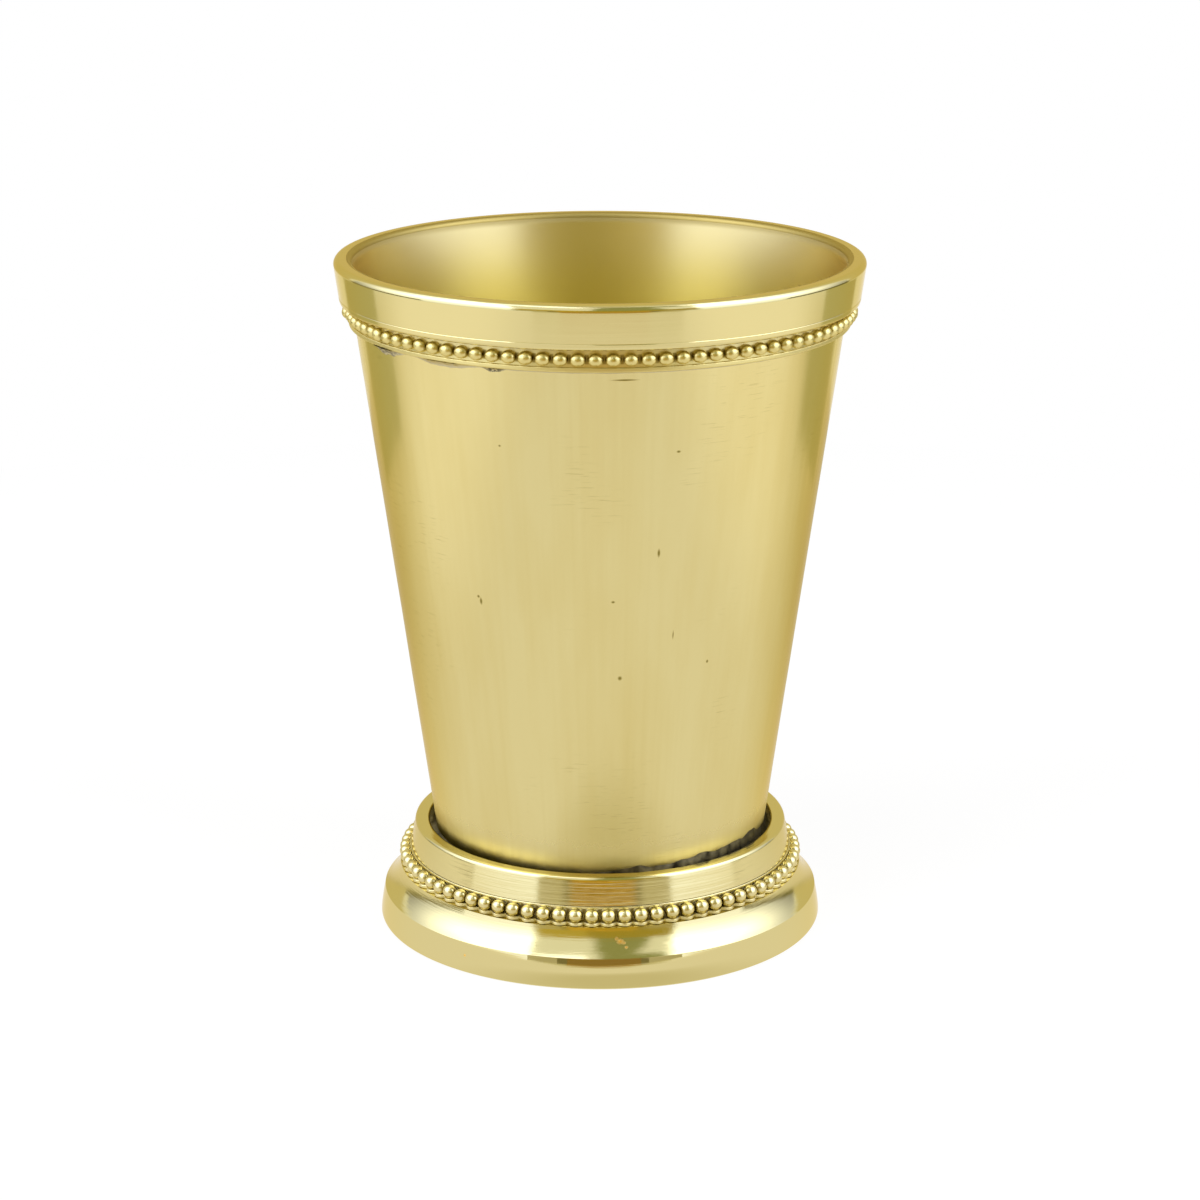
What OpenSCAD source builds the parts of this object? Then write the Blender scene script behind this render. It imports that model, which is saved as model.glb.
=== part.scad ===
// Beaded julep cup: a tapered sheet-metal cup with an applied moulding at the lip and a
// separate moulded foot, each set off by a ring of beaded wire and held by solder.
// Millimetres, +Z up, origin at the centre of the ring that the foot stands on.

/* [Cup] */
// Height from the table to the top of the lip
cup_h = 107.95; // [98:0.05:118]
// Diameter over the rim band, just below the lip's rounded corner
rim_d = 82.55; // [78:0.05:88]
// Outside diameter of the wall where it stands on the foot
wall_base_d = 51.3; // [47:0.1:54]
// Thickness of the sheet that the wall is rolled from
wall_t = 1.0; // [0.8:0.05:1.3]
// Thickness of the floor disc
floor_t = 1.2; // [0.8:0.1:2]
// Height of the floor's underside above the wall's lower edge
floor_lift = 2.2; // [1.5:0.1:6]

/* [Rim band] */
// Height of the plain band, its lip included
band_h = 6.8; // [5:0.1:10]
// How far the band stands out from the wall
band_t = 1.85; // [1.5:0.05:2.2]
// Thickness of the lip that covers the wall's upper edge
lip_t = 0.8; // [0.6:0.05:1.2]
// Rounding of the lip's outer corner
lip_round = 0.9; // [0.5:0.05:1.1]
// Rounding of the lip's inner corner
lip_inner_round = 0.45; // [0.2:0.05:0.6]
// Rounding of the band's lower corner
band_round = 1.1; // [0.5:0.05:1.2]

/* [Rim beading] */
// Diameter of a rim bead
rim_bead_d = 1.9; // [1.4:0.05:2.2]
// Spacing of the rim beads along their ring, middle to middle
rim_bead_pitch = 2.59; // [2.4:0.01:4]
// How far a rim bead's middle stands out from the wall
rim_bead_out = 0.7; // [0.6:0.05:1]
// Height of the strip that the rim beads are rolled on
rim_strip_h = 3.4; // [3.2:0.05:4.5]
// Thickness of that strip at the beads' middle
rim_strip_t = 0.45; // [0.35:0.05:0.6]
// Depth from the strip's top edge to the beads' middle
rim_bead_drop = 1.45; // [1.2:0.05:1.6]
// How far the ledge below the rim beads stands out from the wall
rim_ledge_t = 0.85; // [0.6:0.05:1.1]
// Height of that ledge
rim_ledge_h = 0.75; // [0.5:0.05:0.85]

/* [Foot base] */
// Height of the seat that the wall, collar and beading stand on
seat_h = 9.05; // [8:0.05:11]
// Height of the near-upright band at the foot's bottom
base_band_h = 4.9; // [3.5:0.1:5.5]
// How much wider that band is at its lower edge than at its top, on each side
base_band_flare = 0.8; // [0:0.05:1.5]
// How far the seat reaches out past the beading's flange
seat_margin = 0.1; // [0.05:0.05:0.5]
// How far the skirt flares out from the seat's edge, on each side
skirt_flare = 2.55; // [1.5:0.05:4]
// How deep the skirt's hollow curve lies under a straight line
skirt_hollow = 0.4; // [0.1:0.05:0.7]
// Thickness of the foot moulding
foot_t = 1.9; // [1.4:0.1:2.4]
// Thickness of the seat
seat_t = 1.6; // [1.2:0.1:2.2]
// How far the seat reaches in past the wall's inner face
seat_lip = 2; // [1:0.1:4]
// Rounding of the foot's lower outer corner
foot_round = 0.7; // [0.3:0.05:1]
// Height of the spigot between the wall and the collar
spigot_h = 1.5; // [1:0.1:2.5]

/* [Foot collar] */
// Height of the collar above the seat
collar_h = 7.25; // [6:0.05:9]
// Gap between the wall and the collar at the collar's top
collar_gap = 0.9; // [0.7:0.05:1.2]
// Thickness of the collar at its top
collar_t = 2.3; // [2:0.05:3]
// How much wider the collar is just above the beading than at its top, on each side
collar_flare = 0.8; // [0:0.05:1]
// Rounding of the collar's outer top corner
collar_round = 0.65; // [0.3:0.05:0.9]
// Rounding of the collar's inner top corner
collar_inner_round = 0.9; // [0.3:0.05:1]

/* [Foot beading] */
// Diameter of a foot bead
foot_bead_d = 2.1; // [1.6:0.05:2.3]
// Spacing of the foot beads along their ring, middle to middle
foot_bead_pitch = 2.55; // [2.4:0.01:4]
// How far a foot bead's middle stands out from the strip's face
foot_bead_out = 0.85; // [0.6:0.05:0.95]
// Height of the strip that the foot beads are rolled on
foot_strip_h = 2.8; // [2.7:0.05:3.4]
// Thickness of that strip
foot_strip_t = 0.9; // [0.6:0.05:1.1]
// Height of the beads' middle above the seat
foot_bead_rise = 1.55; // [1.4:0.05:1.65]
// Thickness of the scalloped flange below the foot beads
flange_t = 0.6; // [0.55:0.05:0.7]
// How far the flange's hollows stand out from the strip's face
flange_out = 0.9; // [0.6:0.05:1]
// How much further out the flange reaches at the middle of a scallop
scallop_rise = 0.75; // [0.3:0.05:0.9]

/* [Joints] */
// Film of solder between two seated faces
solder_gap = 0.05; // [0.02:0.01:0.1]
// Depth from the collar's top to the edge of the solder in the gap
foot_solder_drop = 1.4; // [1:0.1:3]
// Leg of the solder fillet under the rim beading
rim_fillet = 0.4; // [0.2:0.05:0.6]
// Leg of the solder fillet under the floor
floor_fillet = 0.8; // [0.4:0.05:1.2]

/* [Hidden] */
// How far a cut runs past the surface that it opens
overrun = 0.5;
// Chords along each rounded corner and along each hollow curve
arc_steps = 8;
// Share of a corner fillet's leg by which its hollow face dips
meniscus_share = 0.25;
// Chords along each scallop of the flange
scallop_steps = 6;
$fn = 144;
bead_fn = 32;

// The wall is a straight cone: its radii at a height z
wall_slope = (rim_d / 2 - band_t - wall_base_d / 2) / (cup_h - lip_round - seat_h);
wall_level_t = wall_t / cos(atan(wall_slope));
function wall_out(z) = wall_base_d / 2 + (z - seat_h) * wall_slope;
function wall_in(z) = wall_out(z) - wall_level_t;

wall_top = cup_h - lip_t;
band_low = cup_h - band_h;
floor_low = seat_h + floor_lift;

rim_strip_top = band_low - solder_gap;
rim_strip_low = rim_strip_top - rim_strip_h;
rim_bead_z = rim_strip_top - rim_bead_drop;
rim_bead_ring_r = wall_out(rim_bead_z) + rim_bead_out;
rim_bead_count = round(2 * PI * rim_bead_ring_r / rim_bead_pitch);
rim_strip_r = wall_out(rim_bead_z) + rim_strip_t;
rim_ledge_r = wall_out(rim_strip_low + rim_ledge_h) + rim_ledge_t;

collar_top = seat_h + collar_h;
collar_in_r = wall_out(collar_top) + collar_gap;
spigot_out_r = collar_in_r - solder_gap;
spigot_in_r = wall_out(seat_h + spigot_h) + solder_gap;
seat_bore_r = wall_in(seat_h) - seat_lip;

collar_top_r = collar_in_r + collar_t;
foot_strip_out_r = collar_top_r + collar_flare;
foot_strip_in_r = foot_strip_out_r - foot_strip_t;
rebate_top = seat_h + foot_strip_h + solder_gap;
foot_bead_ring_r = foot_strip_out_r + foot_bead_out;
foot_bead_count = round(2 * PI * foot_bead_ring_r / foot_bead_pitch);
seat_r = foot_strip_out_r + flange_out + scallop_rise + seat_margin;
base_band_r = seat_r + skirt_flare;
foot_r = base_band_r + base_band_flare;

// Unit vector from one point of an outline to another
function towards(from, to) = (to - from) / norm(to - from);

// Arc that rounds the corner at p, between the points a before it and b after it
function corner_arc(a, p, b, r) =
    let (
        u = towards(p, a),
        w = towards(p, b),
        half = acos(u * w) / 2,
        middle = p + (u + w) / norm(u + w) * r / sin(half),
        first = p + u * r / tan(half) - middle,
        last = p + w * r / tan(half) - middle,
        start = atan2(first.y, first.x),
        sweep = (atan2(last.y, last.x) - start + 540) % 360 - 180
    )
    [
        for (i = [0:arc_steps])
            let (turn = start + sweep * i / arc_steps)
            middle + r * [cos(turn), sin(turn)]
    ];

// Outline whose corners, given as [radius, height, rounding], are rounded where that is not zero
function rounded(corners) =
    let (n = len(corners), flat = [for (c = corners) [c.x, c.y]])
    [
        for (i = [0:n - 1])
            each corners[i].z == 0
                ? [flat[i]]
                : corner_arc(flat[(i + n - 1) % n], flat[i], flat[(i + 1) % n], corners[i].z)
    ];

// Points strictly between a and b on a curve that dips by depth to the left of the way from a to b
function dip(a, b, depth) =
    let (way = towards(a, b), side = [-way.y, way.x])
    [
        for (i = [1:arc_steps - 1])
            let (t = i / arc_steps)
            a + (b - a) * t + side * depth * 4 * t * (1 - t)
    ];

// The same points as corners for rounded(), left as they are
function plain(points) = [for (p = points) [p.x, p.y, 0]];

// Polygon with one flat square to each of count directions, at a distance r
function flats(count, r) =
    [
        for (i = [0:count - 1])
            let (turn = (i + 1 / 2) * 360 / count)
            r / cos(180 / count) * [cos(turn), sin(turn)]
    ];

// Ring outline with one round lobe in each of count directions
function scallops(count, low_r, rise) =
    [
        for (i = [0:count * scallop_steps - 1])
            let (
                across = (i % scallop_steps) * 180 / scallop_steps,
                turn = i * 360 / (count * scallop_steps) - 180 / count
            )
            (low_r + rise * sin(across)) * [cos(turn), sin(turn)]
    ];

// Solid of revolution of an outline in radius and height
module turned(points) {
    rotate_extrude() polygon(points);
}

// Copies of its child round the cup's axis
module ring_of(count) {
    for (i = [0:count - 1])
        rotate([0, 0, i * 360 / count]) children();
}

// Everything inside the wall's outer face between two heights, a solder film larger
module wall_space(low, high) {
    turned([
        [0, low],
        [wall_out(low) + solder_gap, low],
        [wall_out(high) + solder_gap, high],
        [0, high]
    ]);
}

// Tapered wall, rolled from flat sheet and closed at its seam
module cup_wall() {
    color("khaki")
    turned([
        [wall_in(seat_h), seat_h],
        [wall_out(seat_h), seat_h],
        [wall_out(wall_top), wall_top],
        [wall_in(wall_top), wall_top]
    ]);
}

// Floor disc, dropped in from the top until its tapered edge meets the wall
module cup_floor() {
    high = floor_low + floor_t;
    color("darkkhaki")
    turned([
        [0, floor_low],
        [wall_in(floor_low) - solder_gap, floor_low],
        [wall_in(high) - solder_gap, high],
        [0, high]
    ]);
}

// Solder fillet in the corner under the floor
module floor_solder() {
    high = floor_low;
    low = floor_low - floor_fillet;
    inner = [wall_in(high) - floor_fillet, high];
    outer = [wall_in(low), low];
    hollow = dip(inner, outer, meniscus_share * floor_fillet);
    color("silver")
    turned(concat([inner], hollow, [outer, [wall_in(high), high]]));
}

// Applied band: its lip covers the wall's upper edge and its skirt hugs the wall
module rim_band() {
    color("gold")
    turned(rounded([
        [wall_in(wall_top), wall_top, 0],
        [wall_out(wall_top) + solder_gap, wall_top, 0],
        [wall_out(band_low) + solder_gap, band_low, 0],
        [wall_out(band_low) + band_t, band_low, band_round],
        [wall_out(cup_h) + band_t, cup_h, lip_round],
        [wall_in(cup_h), cup_h, lip_inner_round]
    ]));
}

// Beaded wire under the band: beads in one piece with their strip and the ledge below them.
// The strip's face has one flat behind each bead, as the rolls leave it.
module rim_beading() {
    color("goldenrod")
    difference() {
        union() {
            translate([0, 0, rim_strip_low]) {
                linear_extrude(rim_strip_h) polygon(flats(rim_bead_count, rim_strip_r));
                cylinder(r = rim_ledge_r, h = rim_ledge_h);
            }
            ring_of(rim_bead_count)
                translate([rim_bead_ring_r, 0, rim_bead_z]) sphere(d = rim_bead_d, $fn = bead_fn);
        }
        wall_space(rim_strip_low - overrun, rim_strip_top + overrun);
    }
}

// Solder fillet between the wall and the underside of the rim beading
module rim_solder() {
    high = rim_strip_low;
    low = high - rim_fillet;
    outer = [wall_out(high) + rim_fillet, high];
    inner = [wall_out(low), low];
    hollow = dip(inner, outer, meniscus_share * rim_fillet);
    color("silver")
    turned(concat([inner], hollow, [outer, [wall_out(high), high]]));
}

// Foot base: standing band, hollow-curved skirt, and the seat with its spigot, open underneath
module foot_base() {
    seat_low = seat_h - seat_t;
    stand = [base_band_r, base_band_h];
    edge = [seat_r, seat_h];
    inner_stand = [base_band_r - foot_t, base_band_h];
    inner_edge = [seat_r - foot_t, seat_low];
    color("goldenrod")
    turned(rounded(concat(
        [[foot_r - foot_t, 0, 0], [foot_r, 0, foot_round]],
        plain([stand]),
        plain(dip(stand, edge, skirt_hollow)),
        plain([
            edge,
            [spigot_out_r, seat_h],
            [spigot_out_r, seat_h + spigot_h],
            [spigot_in_r, seat_h + spigot_h],
            [spigot_in_r, seat_h],
            [seat_bore_r, seat_h],
            [seat_bore_r, seat_low],
            inner_edge
        ]),
        plain(dip(inner_edge, inner_stand, -skirt_hollow)),
        plain([inner_stand])
    )));
}

// Collar round the spigot, rebated at its foot for the beaded wire
module foot_collar() {
    color("gold")
    turned(rounded([
        [collar_in_r, seat_h, 0],
        [foot_strip_in_r - solder_gap, seat_h, 0],
        [foot_strip_in_r - solder_gap, rebate_top, 0],
        [foot_strip_out_r, rebate_top, 0],
        [collar_top_r, collar_top, collar_round],
        [collar_in_r, collar_top, collar_inner_round]
    ]));
}

// Beaded wire round the collar: beads, strip and scalloped flange in one piece
module foot_beading() {
    flange_r = foot_strip_out_r + flange_out;
    color("darkgoldenrod")
    translate([0, 0, seat_h])
    difference() {
        union() {
            linear_extrude(foot_strip_h) polygon(flats(foot_bead_count, foot_strip_out_r));
            linear_extrude(flange_t) polygon(scallops(foot_bead_count, flange_r, scallop_rise));
            ring_of(foot_bead_count)
                translate([foot_bead_ring_r, 0, foot_bead_rise]) sphere(d = foot_bead_d, $fn = bead_fn);
        }
        translate([0, 0, -overrun]) cylinder(r = foot_strip_in_r, h = foot_strip_h + 2 * overrun);
    }
}

// Solder that fills the gap between the wall and the collar, with a hollow upper face
module foot_solder() {
    low = seat_h + spigot_h;
    high = collar_top - foot_solder_drop;
    outer = [collar_in_r, high];
    inner = [wall_out(high), high];
    hollow = dip(outer, inner, meniscus_share * collar_gap);
    color("silver")
    turned(concat([[wall_out(low), low], [collar_in_r, low], outer], hollow, [inner]));
}

cup_wall();
cup_floor();
floor_solder();
rim_band();
rim_beading();
rim_solder();
foot_base();
foot_collar();
foot_beading();
foot_solder();
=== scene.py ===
# Julep cup: thin brass sheet, turned mouldings, beaded wire and soft solder.
# Sizes are in millimetres, as on a drawing, and mm turns them to Blender's metres.
import math
import random

import bmesh
import bpy
from mathutils import Matrix, Vector, noise


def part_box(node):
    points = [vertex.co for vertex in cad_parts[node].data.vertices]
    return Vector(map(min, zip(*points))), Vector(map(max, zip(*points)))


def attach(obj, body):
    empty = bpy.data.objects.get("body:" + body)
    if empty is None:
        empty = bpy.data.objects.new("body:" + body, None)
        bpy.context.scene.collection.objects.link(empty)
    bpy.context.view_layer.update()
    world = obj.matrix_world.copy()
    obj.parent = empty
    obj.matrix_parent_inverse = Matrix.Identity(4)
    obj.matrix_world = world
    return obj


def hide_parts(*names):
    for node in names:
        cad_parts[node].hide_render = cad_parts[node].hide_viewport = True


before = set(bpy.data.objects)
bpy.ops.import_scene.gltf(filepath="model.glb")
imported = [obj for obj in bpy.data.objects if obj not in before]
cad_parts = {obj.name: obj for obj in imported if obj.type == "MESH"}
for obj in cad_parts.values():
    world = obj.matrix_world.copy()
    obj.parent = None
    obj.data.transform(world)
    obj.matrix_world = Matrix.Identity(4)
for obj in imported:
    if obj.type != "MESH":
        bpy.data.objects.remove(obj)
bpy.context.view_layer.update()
mm = 0.001
middleRadius = 33.0  # where the patterns that run round the cup have the sizes given for them
turnedSegments = 384
sharpFrom = 28  # degrees between two faces
print("frame loaded:", len(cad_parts), "nodes")


# Small helpers

def linear(hexText, alpha=1.0):
    channels = [int(hexText[i:i + 2], 16) / 255 for i in (1, 3, 5)]
    return [c / 12.92 if c <= 0.04045 else ((c + 0.055) / 1.055) ** 2.4 for c in channels] + [alpha]


def addNode(tree, kind, settings=None, links=None):
    # Settings are properties or input values. A link is a socket, or a node, whose first output is meant
    node = tree.nodes.new("ShaderNode" + kind)
    for name, value in (settings or {}).items():
        if isinstance(name, str) and hasattr(node, name):
            setattr(node, name, value)
        else:
            node.inputs[name].default_value = value
    for name, source in (links or {}).items():
        tree.links.new(source.outputs[0] if isinstance(source, bpy.types.Node) else source, node.inputs[name])
    return node


def newMaterial(name):
    material = bpy.data.materials.new(name)
    material.use_nodes = True
    material.node_tree.nodes.clear()
    return material, material.node_tree


def span(node):
    low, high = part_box(node)
    return low.z / mm, high.z / mm, high.x / mm  # lower end, upper end, outer radius


# Sizes that several pieces share, read off the frame where it holds them

wallLow, wallTop, wallTopR = span("cup_wall")
bandLow, lipTop, _ = span("rim_band")
seatHeight = wallLow

wall = {
    "baseR": 25.65,  # outside, where it stands on the foot
    "thickness": 1.01,  # measured level
    "rowStep": 1.6,
    "unevenness": 0.022,  # hand work on the sheet, seen only in what it reflects
    "unevenWidth": 13.0,
    "trueEnd": 8.0,  # how far from each end it grows to the full amount, true where it fits its neighbours
    "outsideFrom": 0.2,  # the least that a face of the outside turns outwards
}


def wallOut(z):
    return wall["baseR"] + (z - wallLow) * (wallTopR - wall["baseR"]) / (wallTop - wallLow)


def wallIn(z):
    return wallOut(z) - wall["thickness"]


# Outlines are lists of (radius, height, rounding), anticlockwise with the radius to the right

def rounded(corners, steps=8, support=0.05):
    points = []
    count = len(corners)
    for i, (r, z, rounding) in enumerate(corners):
        p = Vector((r, z))
        if not rounding:
            points.append(p)
            continue
        before = Vector(corners[i - 1][:2])
        after = Vector(corners[(i + 1) % count][:2])
        u, w = (before - p).normalized(), (after - p).normalized()
        half = math.acos(max(-1.0, min(1.0, u.dot(w)))) / 2
        middle = p + (u + w).normalized() * rounding / math.sin(half)
        reach = rounding / math.tan(half)
        first, last = p + u * reach - middle, p + w * reach - middle
        turn = first.angle_signed(last)
        points.append(p + u * (reach + support))  # keeps the flat beside the corner flat when it is shaded
        for k in range(steps + 1):
            points.append(middle + Matrix.Rotation(-turn * k / steps, 2) @ first)
        points.append(p + w * (reach + support))
    return points


def hollow(a, b, depth, steps=20):
    a, b = Vector(a), Vector(b)
    way = (b - a).normalized()
    side = Vector((-way.y, way.x))
    points = []
    for k in range(1, steps):
        share = k / steps
        points.append((*(a.lerp(b, share) + side * depth * 4 * share * (1 - share)), 0))
    return points


def subdivided(points, longest):
    fine = []
    for a, b in zip(points, points[1:] + points[:1]):
        parts = max(1, math.ceil((b - a).length / longest))
        fine += [a.lerp(b, k / parts) for k in range(parts)]
    return fine


def turnedMesh(name, points, segments, moved=None):
    mesh = bpy.data.meshes.new(name)
    vertices, rows = [], []
    for p in points:
        onAxis = p.x < 1e-6
        rows.append([len(vertices)] if onAxis else list(range(len(vertices), len(vertices) + segments)))
        for i in range(1 if onAxis else segments):
            turn = 2 * math.pi * i / segments
            r, z = moved(turn, p.x, p.y) if moved else (p.x, p.y)
            vertices.append((r * math.cos(turn) * mm, r * math.sin(turn) * mm, z * mm))
    faces = []
    for lower, upper in zip(rows, rows[1:] + rows[:1]):
        for i in range(segments):
            k = (i + 1) % segments
            if len(lower) == 1 and len(upper) == 1:
                break
            if len(lower) == 1:
                faces.append((lower[0], upper[k], upper[i]))
            elif len(upper) == 1:
                faces.append((lower[i], lower[k], upper[0]))
            else:
                faces.append((lower[i], lower[k], upper[k], upper[i]))
    mesh.from_pydata(vertices, [], faces)
    mesh.validate()
    return mesh


def faceOutward(mesh):
    bm = bmesh.new()
    bm.from_mesh(mesh)
    bmesh.ops.recalc_face_normals(bm, faces=bm.faces)
    bm.to_mesh(mesh)
    bm.free()


def towards(azimuth, elevation):
    # A direction in degrees: azimuth from the camera's side, positive to its right
    side, up = math.radians(azimuth), math.radians(elevation)
    return Vector((math.sin(side) * math.cos(up), -math.cos(side) * math.cos(up), math.sin(up)))


def addPiece(name, mesh, node, slot, *materials):
    faceOutward(mesh)
    mesh.shade_smooth()
    mesh.set_sharp_from_angle(angle=math.radians(sharpFrom))
    piece = bpy.data.objects.new(name, mesh)
    bpy.context.scene.collection.objects.link(piece)
    for material in materials:
        mesh.materials.append(material)
    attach(piece, "root")
    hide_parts(node)


def unevenness(turn, z, width, seed, finer=2.3, finerShare=0.4):
    around = middleRadius / width
    spot = Vector((math.cos(turn) * around, math.sin(turn) * around, z / width + seed))
    return noise.noise(spot) + finerShare * noise.noise(spot * finer)


# Materials

brass = {
    "polished": "#DBD096",  # yellow brass, freshly buffed
    "handled": "#D3C380",  # the same after some handling
    "inside": "#DACD94",
    "insidePaintedShade": "#D2C474",  # painted shade: the deeper colour of light bounced round inside the cup, further in
    "stain": "#867932",  # where solder and flux have been, also scratches, pits and the painted shade at the wall's foot
    "fleck": "#E3B552",  # brass filings caught under the buffing
    "oxideAndShade": "#9A8A4C",  # dark oxide between the beads, deepened by painted shade
    "edge": "#F4E5B8",  # what the metal reflects at a low angle
    "paleEdge": "#F8EFD0",  # the same on the beads and the foot, which are cleaner
}
noiseSpan = (0.3, 0.7)  # most of a noise lies between these


def fromTo(before, after=(0.0, 1.0), smooth=False):
    # Settings that turn one range of values into another
    values = dict(zip(("From Min", "From Max", "To Min", "To Max"), (*before, *after)))
    return {"interpolation_type": "SMOOTHSTEP", **values} if smooth else values


def roundCoordinates(tree):
    # Position in mm, and its direction from the axis, height and radius, so that streaks can run along the cone
    place = addNode(tree, "TexCoord")
    inMm = addNode(tree, "VectorMath", {"operation": "SCALE", "Scale": 1000.0}, {0: place.outputs["Object"]})
    parts = addNode(tree, "SeparateXYZ", links={0: inMm})
    level = addNode(tree, "CombineXYZ", links={"X": parts.outputs["X"], "Y": parts.outputs["Y"]})
    unit = addNode(tree, "VectorMath", {"operation": "NORMALIZE"}, {0: level})
    radius = addNode(tree, "VectorMath", {"operation": "LENGTH"}, {0: level})
    return {
        "point": inMm.outputs[0],
        "direction": unit.outputs[0],
        "height": parts.outputs["Z"],
        "radius": radius.outputs["Value"],
    }


def stretched(tree, at, alongWidth, heightStep, profile=None):
    # Coordinates for a noise whose grains are alongWidth mm wide round the cup and heightStep mm high
    around = addNode(tree, "VectorMath", {"operation": "SCALE", "Scale": middleRadius / alongWidth},
                     {0: at["direction"]})
    up = addNode(tree, "Math", {"operation": "MULTIPLY", 1: 1 / heightStep}, {0: profile or at["height"]})
    upward = addNode(tree, "CombineXYZ", links={"Z": up})
    return addNode(tree, "VectorMath", {"operation": "ADD"}, {0: around, 1: upward})


def spots(tree, at, marks, core=0.3):
    # 1 in the core of small marks, less round it, 0 elsewhere. A mark is azimuth, height, width and length,
    # and its radius where it isn't on the wall
    found = None
    for azimuth, height, width, length, *radius in marks:
        middle = towards(azimuth, 0) * (radius[0] if radius else wallOut(height)) + Vector((0, 0, height))
        offset = addNode(tree, "VectorMath", {"operation": "SUBTRACT", 1: middle}, {0: at["point"]})
        scaled = addNode(tree, "VectorMath", {
            "operation": "MULTIPLY", 1: (1 / width, 1 / width, 1 / length)}, {0: offset})
        away = addNode(tree, "VectorMath", {"operation": "LENGTH"}, {0: scaled})
        near = addNode(tree, "MapRange", fromTo((1.0, core)), {"Value": away.outputs["Value"]})
        if found:
            near = addNode(tree, "Math", {"operation": "MAXIMUM"}, {0: found, 1: near})
        found = near
    return found


rolledSheet = {
    "roughness": (0.1, 0.2),
    "streakWidth": 1.1,  # marks of the buffing wheel, drawn from foot to rim
    "streakLength": 60.0,
    "streakDepth": 0.0012,
    "cloudWidth": 9.0,
    "scratchLength": 3.5,
    "scratchWidth": 0.14,  # real ones are finer, but would not show
    "scratchDepth": 0.01,
    "scratchCut": (0.64, 0.72),  # of the noise that makes them
    "scratchPatch": (0.5, 0.62),  # of the noise that says where they are
    "patchScale": 0.055,
    "cloudTone": (0.35, 0.75),
    "cloudShare": 0.6,  # the most that the clouds show of the handled tone
    "streakShare": 0.4,
    "stainAndShadeTop": 16.6,  # height to which flux stain and painted shade reach on the wall above the collar
    "stainAndShadeAside": 1.3,  # and how much higher the painted shade goes at the sides
    "stainAndShadeFade": 1.6,
    "stainAndShadeRagged": 1.8,
    "raggedScale": 0.35,
    "stainAndShadeShare": 0.95,
    "scratchShare": 0.3,
    "hazeTop": 24.0,  # height to which it has lost its shine
    "hazeShare": 0.04,
    "hazeRoughness": 0.3,
    "pits": [
        (14.9, 69.0, 0.28, 0.9),
        (-33.2, 60.0, 0.3, 0.75),
        (-33.9, 60.7, 0.3, 0.3),
        (3.4, 61.4, 0.35, 0.25),
        (5.5, 48.9, 0.4, 0.45),
        (31.2, 50.3, 0.25, 0.35),
        (20.0, 55.5, 0.12, 5.0),
        (18.6, 84.9, 0.4, 0.25),
        (-24.0, 85.5, 0.25, 0.2),
        (5.5, 96.4, 2.4, 0.17),
    ],
}


def footStainAndShade(tree, at, s):
    # How far flux stain and painted shade reach on the wall, and how far it has lost its shine
    ragged = addNode(tree, "TexNoise", {"Scale": s["raggedScale"], "Detail": 4.0}, {"Vector": at["point"]})
    reach = addNode(tree, "Math", {
        "operation": "MULTIPLY_ADD", 1: s["stainAndShadeRagged"], 2: s["stainAndShadeTop"] - s["stainAndShadeRagged"] / 2}, {0: ragged})
    parts = addNode(tree, "SeparateXYZ", links={0: at["direction"]})
    aside = addNode(tree, "Math", {"operation": "ABSOLUTE"}, {0: parts.outputs["X"]})
    climbed = addNode(tree, "Math", {"operation": "MULTIPLY_ADD", 1: s["stainAndShadeAside"]}, {0: aside, 2: reach})
    below = addNode(tree, "Math", {"operation": "SUBTRACT"}, {0: climbed, 1: at["height"]})
    stainedAndShaded = addNode(tree, "MapRange", fromTo((0.0, s["stainAndShadeFade"]), (0.0, s["stainAndShadeShare"])), {"Value": below})
    haze = addNode(tree, "MapRange", fromTo((s["hazeTop"], s["stainAndShadeTop"]), smooth=True),
                   {"Value": at["height"]})
    return stainedAndShaded, haze


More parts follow.
